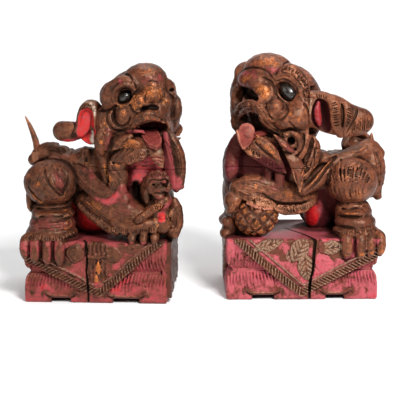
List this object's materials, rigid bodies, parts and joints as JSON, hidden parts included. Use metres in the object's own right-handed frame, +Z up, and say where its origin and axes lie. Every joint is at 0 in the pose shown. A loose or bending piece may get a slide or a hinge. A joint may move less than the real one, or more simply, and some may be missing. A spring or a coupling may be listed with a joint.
{
  "type": "carved wooden foo dog pair",
  "caption": "Pair of carved, lacquered and gilded wooden guardian lions on cushion plinths, one with a cub and one with a brocade ball, with tenoned ears and inset eyes.",
  "frame": {"origin": "on the surface the pair stands on, under the middle of the pair's bounding box", "axes": "+X from the lion with the cub to the lion with the ball, +Z up, the lions face -Y"},
  "size_m": [0.4801, 0.181, 0.3166],
  "materials": {
    "umber_lacquer": "worn umber and red lacquer over gilding on carved wood",
    "bare_wood": "bare wood",
    "tail_wood": "lacquered wood worn bare at the foot",
    "eye_glaze": "opaque dark glossy glass",
    "tongue_lacquer": "faded rose lacquer",
    "worn_gilt": "worn gilding over dark lacquer"
  },
  "bodies": {
    "left_statue": {"left_body_block": "umber_lacquer", "left_head_block": "umber_lacquer", "left_front_dowel": "bare_wood", "left_rear_dowel": "bare_wood", "left_outer_eye": "eye_glaze", "left_inner_eye": "eye_glaze", "left_tongue": "tongue_lacquer", "left_cub": "umber_lacquer"},
    "left_outer_ear": {"left_outer_ear": "umber_lacquer"},
    "left_inner_ear": {"left_inner_ear": "umber_lacquer"},
    "left_tail": {"left_tail": "tail_wood"},
    "right_statue": {"right_body_block": "umber_lacquer", "right_head_block": "umber_lacquer", "right_front_dowel": "bare_wood", "right_rear_dowel": "bare_wood", "right_outer_eye": "eye_glaze", "right_inner_eye": "eye_glaze", "right_tongue": "tongue_lacquer", "right_ball": "worn_gilt"},
    "right_outer_ear": {"right_outer_ear": "umber_lacquer"},
    "right_inner_ear": {"right_inner_ear": "umber_lacquer"}
  },
  "joints": [
    {"name": "right_statue_move", "type": "slide", "parent": "left_statue", "child": "right_statue", "axis": [1, 0, 0], "range_m": [0, 0.1]},
    {"name": "left_outer_ear_pull", "type": "slide", "parent": "left_statue", "child": "left_outer_ear", "axis": [-0.956, 0.2934, 0], "range_m": [0, 0.03]},
    {"name": "left_inner_ear_pull", "type": "slide", "parent": "left_statue", "child": "left_inner_ear", "axis": [0.0024, 1, 0], "range_m": [0, 0.03]},
    {"name": "left_tail_pull", "type": "slide", "parent": "left_statue", "child": "left_tail", "axis": [0, 0, 1], "range_m": [0, 0.03]},
    {"name": "right_outer_ear_pull", "type": "slide", "parent": "right_statue", "child": "right_outer_ear", "axis": [0.9883, -0.1528, 0], "range_m": [0, 0.03]},
    {"name": "right_inner_ear_pull", "type": "slide", "parent": "right_statue", "child": "right_inner_ear", "axis": [0.5859, 0.8103, 0], "range_m": [0, 0.03]}
  ]
}
